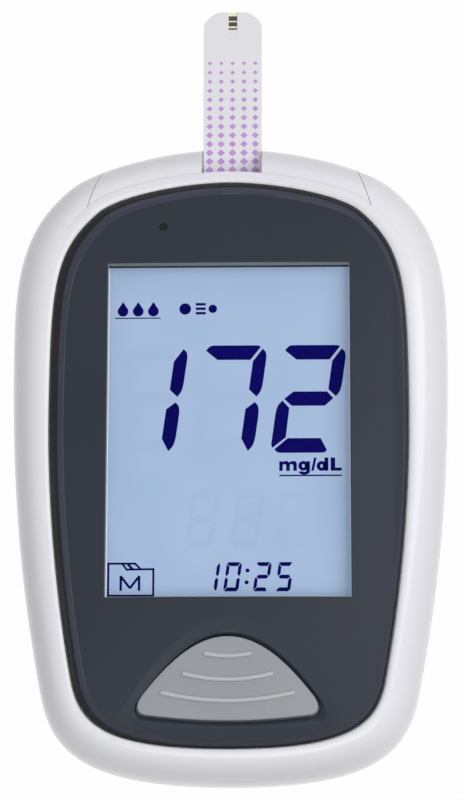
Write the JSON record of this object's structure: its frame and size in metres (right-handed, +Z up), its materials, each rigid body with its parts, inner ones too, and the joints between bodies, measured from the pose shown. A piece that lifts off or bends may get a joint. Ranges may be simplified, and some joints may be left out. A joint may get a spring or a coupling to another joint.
{
  "type": "blood glucose meter",
  "caption": "Rounded hand-held blood glucose meter with a large display in a dark faceplate, a curved grey button, a battery door on its back and a test strip in its top port.",
  "frame": {"origin": "on the resting plane, under the middle of the whole length with the strip in", "axes": "+Z up out of the display, +Y towards the strip end, +X to the right"},
  "size_m": [0.062, 0.112, 0.0237],
  "materials": {
    "shell_white": "glossy white moulded case",
    "plate_charcoal": "satin charcoal moulding",
    "window_clear": "clear polished window",
    "lcd_glass": "pale blue lit display",
    "lcd_segment": "navy display segments",
    "diffuser_white": "milky diffuser",
    "black_plastic": "black moulding",
    "black_rubber": "black elastomer",
    "board_green": "green solder mask",
    "button_grey": "satin grey moulding",
    "steel": "plated steel",
    "gold_contact": "gilt contact metal",
    "brass": "thin brass plate",
    "ceramic": "pale fired ceramic",
    "strip_white": "white film",
    "strip_film": "white film with printed diamonds",
    "cell_jacket": "plain printed cell jacket"
  },
  "bodies": {
    "meter_body": {"rear_shell": "shell_white", "front_shell": "shell_white", "top_cap": "shell_white", "faceplate": "plate_charcoal", "display_window": "window_clear", "lcd_frame": "black_plastic", "lcd_glass": "lcd_glass", "lcd_backlight": "diffuser_white", "backlight_led_1": "diffuser_white", "backlight_led_2": "diffuser_white", "zebra_connector": "black_rubber", "circuit_board": "board_green", "processor_chip": "black_plastic", "analog_chip": "black_plastic", "clock_crystal": "steel", "power_capacitor": "black_plastic", "main_switch": "steel", "set_switch": "steel", "strip_port": "black_plastic", "port_contact_1": "gold_contact", "port_contact_2": "gold_contact", "port_contact_3": "gold_contact", "port_contact_4": "gold_contact", "sensor_lens": "black_plastic", "sensor_chip": "black_plastic", "sounder_disc": "brass", "sounder_ceramic": "ceramic", "sounder_contact_1": "gold_contact", "sounder_contact_2": "gold_contact", "battery_1": "cell_jacket", "battery_2": "cell_jacket", "battery_link_contact": "steel", "battery_plus_contact": "steel", "battery_minus_contact": "steel", "case_screw_1": "steel", "case_screw_2": "steel", "case_screw_3": "steel", "case_screw_4": "steel"},
    "test_strip": {"strip_base": "strip_white", "strip_cover": "strip_film"},
    "main_button": {"main_button": "button_grey", "main_switch_plunger": "black_plastic"},
    "set_button": {"set_button": "button_grey", "set_switch_plunger": "black_plastic"},
    "battery_door": {"battery_door": "shell_white"}
  },
  "joints": [
    {"name": "strip_slide", "type": "slide", "parent": "meter_body", "child": "test_strip", "axis": [0, 1, 0], "range_m": [0, 0.012]},
    {"name": "main_button_press", "type": "slide", "parent": "meter_body", "child": "main_button", "axis": [0, 0, -1], "range_m": [0, 0.0006], "stiffness_N_per_m": 3000},
    {"name": "set_button_press", "type": "slide", "parent": "meter_body", "child": "set_button", "axis": [0, 0, 1], "range_m": [0, 0.0005], "stiffness_N_per_m": 2500},
    {"name": "battery_door_hinge", "type": "hinge", "parent": "meter_body", "child": "battery_door", "pos_m": [0, 0.0035, 0.0002], "axis": [1, 0, 0], "range_deg": [0, 75]}
  ]
}
